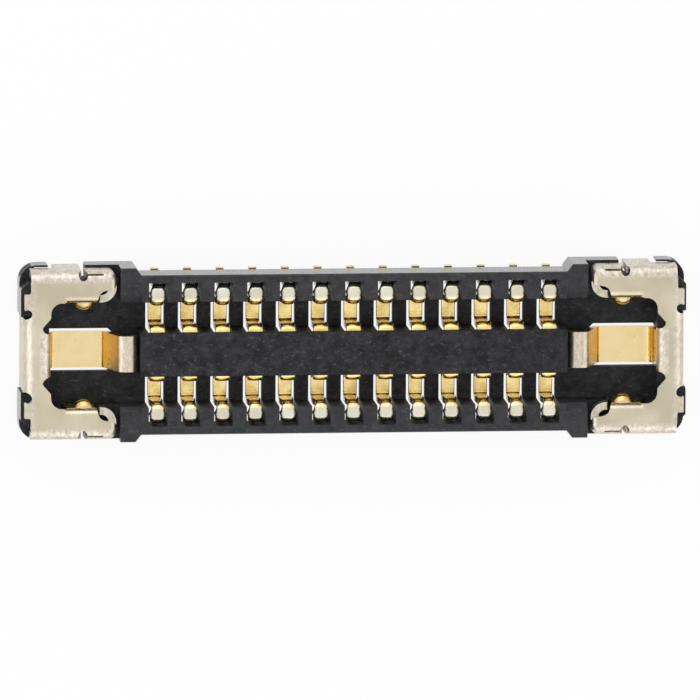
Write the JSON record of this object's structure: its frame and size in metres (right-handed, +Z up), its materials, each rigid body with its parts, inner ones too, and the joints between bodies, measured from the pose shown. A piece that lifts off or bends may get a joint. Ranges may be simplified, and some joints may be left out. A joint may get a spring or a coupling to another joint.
{
  "type": "fpc connector",
  "caption": "Low receptacle of a board-to-flex connector: open housing with centre island, two rows of spring contacts and folded end fittings with power tongues.",
  "frame": {"origin": "middle of the connector on the board surface, under the solder feet", "axes": "+X along the contact rows, +Y across them, +Z up from the board to the open side"},
  "size_m": [0.0072, 0.0018, 0.0006],
  "materials": {
    "housing_plastic": "black glass-filled moulding",
    "fitting_metal": "satin nickel plating with thin gold on the tongue and inner flaps",
    "contact_metal": "gold plating over nickel"
  },
  "bodies": {
    "root": {"housing": "housing_plastic", "end_fitting_left": "fitting_metal", "end_fitting_right": "fitting_metal", "contact_back_01": "contact_metal", "contact_front_01": "contact_metal", "contact_back_02": "contact_metal", "contact_front_02": "contact_metal", "contact_back_03": "contact_metal", "contact_front_03": "contact_metal", "contact_back_04": "contact_metal", "contact_front_04": "contact_metal", "contact_back_05": "contact_metal", "contact_front_05": "contact_metal", "contact_back_06": "contact_metal", "contact_front_06": "contact_metal", "contact_back_07": "contact_metal", "contact_front_07": "contact_metal", "contact_back_08": "contact_metal", "contact_front_08": "contact_metal", "contact_back_09": "contact_metal", "contact_front_09": "contact_metal", "contact_back_10": "contact_metal", "contact_front_10": "contact_metal", "contact_back_11": "contact_metal", "contact_front_11": "contact_metal", "contact_back_12": "contact_metal", "contact_front_12": "contact_metal", "contact_back_13": "contact_metal", "contact_front_13": "contact_metal"}
  },
  "joints": []
}
